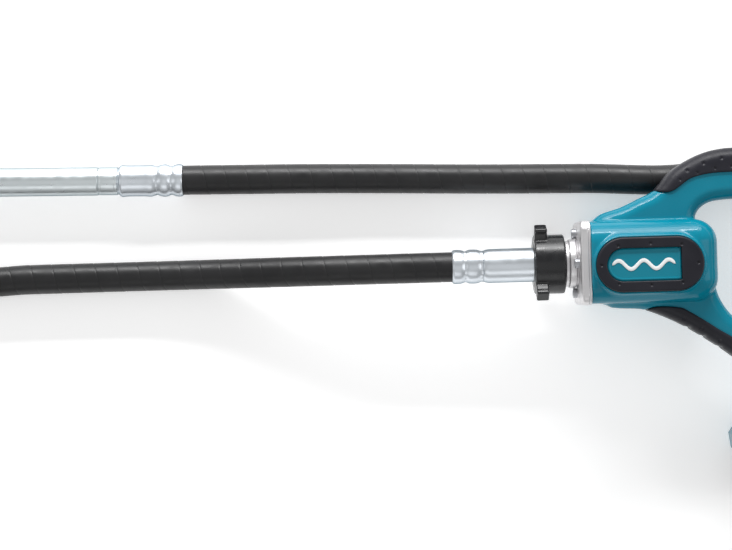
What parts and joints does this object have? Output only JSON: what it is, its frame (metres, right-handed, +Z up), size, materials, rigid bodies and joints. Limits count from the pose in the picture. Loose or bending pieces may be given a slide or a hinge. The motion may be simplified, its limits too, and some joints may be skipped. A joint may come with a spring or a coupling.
{
  "type": "concrete vibrator",
  "caption": "Cordless concrete vibrator: steel vibrating head on a long rubber-covered flexible shaft, clamped to a D-handled battery drive unit with soft grips.",
  "frame": {"origin": "middle of the bounding box of all the rigid pieces (hose and core left out) in X and Y, on the surface the tool lies on", "axes": "+X along the drive axis from the nozzle to the rear of the drive unit, +Y from the battery to the top grip, +Z up from the surface to the tool's left side, which faces up"},
  "size_m": [0.9621, 0.5446, 0.0921],
  "materials": {
    "housing": "satin moulded plastic, teal",
    "soft_grip": "matt moulded elastomer, black",
    "badge": "gloss plate, teal with a plain white wave",
    "cast_alu": "fine blasted casting, turned faces",
    "bright_steel": "bright turned steel",
    "plated": "bright zinc plate",
    "dark_steel": "dark oxide steel",
    "knob": "black moulded plastic",
    "black_plastic": "black moulded plastic",
    "hose": "black wrapped rubber",
    "copper": "lacquered copper",
    "pale_plastic": "pale moulded plastic",
    "board": "green lacquered board",
    "wire": "red wire cover",
    "cell": "blue shrink wrap",
    "red": "red moulded plastic"
  },
  "bodies": {
    "drive_unit": {"housing_left": "housing", "housing_right": "housing", "grip_rubber_left": "soft_grip", "grip_rubber_right": "soft_grip", "arm_rubber_left": "soft_grip", "arm_rubber_right": "soft_grip", "bumper_left": "soft_grip", "bumper_right": "soft_grip", "badge_left": "badge", "badge_right": "badge", "base_pads": "soft_grip", "housing_screws": "dark_steel", "front_flange": "cast_alu", "flange_screws": "dark_steel", "bearing_block": "cast_alu", "spindle_bearing": "bright_steel", "output_neck": "cast_alu", "rigid_sleeve": "plated", "hose_ferrule": "plated", "hose": "hose", "flex_core": "bright_steel", "head_ferrule": "plated", "head_collar": "bright_steel", "head_tube": "bright_steel", "head_nose": "bright_steel", "head_bearings": "bright_steel", "head_seal": "soft_grip", "motor_can": "dark_steel", "motor_magnets": "dark_steel", "motor_endbell": "black_plastic", "motor_bearings": "bright_steel", "brushes": "black_plastic", "switch_body": "black_plastic", "lock_spring": "bright_steel", "terminal_block": "black_plastic", "controller": "board", "lead_wires": "wire"},
    "knob_slide": {"thrust_ring": "bright_steel"},
    "knob": {"clamp_knob": "knob"},
    "motor_rotor": {"core_driver": "bright_steel", "drive_spindle": "bright_steel", "motor_shaft": "bright_steel", "armature_core": "dark_steel", "windings": "copper", "commutator": "copper", "fan": "pale_plastic"},
    "head_rotor": {"core_end": "bright_steel", "eccentric_rotor": "dark_steel"},
    "trigger": {"trigger": "black_plastic"},
    "lock_button": {"lock_button": "black_plastic"},
    "battery": {"battery_case": "black_plastic", "battery_lid": "black_plastic", "battery_cells": "cell", "cell_straps": "bright_steel", "battery_terminals": "copper"},
    "battery_latch": {"battery_latch": "red"}
  },
  "joints": [
    {"name": "motor_spin", "type": "hinge", "parent": "drive_unit", "child": "motor_rotor", "pos_m": [0.26648, 0.05725, 0.046], "axis": [-1, 0, 0], "continuous": true},
    {"name": "head_spin", "type": "hinge", "parent": "drive_unit", "child": "head_rotor", "pos_m": [-0.2965, 0.14317, 0.0142], "axis": [-0.9998, 0.0175, 0], "continuous": true},
    {"name": "knob_advance", "type": "slide", "parent": "drive_unit", "child": "knob_slide", "axis": [-1, 0, 0], "range_m": [0, 0.006]},
    {"name": "knob_turn", "type": "hinge", "parent": "knob_slide", "child": "knob", "pos_m": [0.16648, 0.05725, 0.046], "axis": [-1, 0, 0], "range_deg": [0, 1440]},
    {"name": "trigger_pull", "type": "slide", "parent": "drive_unit", "child": "trigger", "axis": [0, 1, 0], "range_m": [0, 0.006], "stiffness_N_per_m": 900, "springref_m": -0.004},
    {"name": "lock_press", "type": "slide", "parent": "drive_unit", "child": "lock_button", "axis": [0, 0, -1], "range_m": [0, 0.0026], "stiffness_N_per_m": 700, "springref_m": -0.003, "deforming": ["lock_spring"]},
    {"name": "battery_slide", "type": "slide", "parent": "drive_unit", "child": "battery", "axis": [1, 0, 0], "range_m": [0, 0.125]},
    {"name": "latch_press", "type": "slide", "parent": "battery", "child": "battery_latch", "axis": [0, -1, 0], "range_m": [0, 0.004], "stiffness_N_per_m": 900, "springref_m": -0.003}
  ],
  "couplings": [
    {"joint": "head_spin", "follows": "motor_spin", "ratio": 1},
    {"joint": "knob_advance", "follows": "knob_turn", "m_per_rad": 0.00023873}
  ]
}
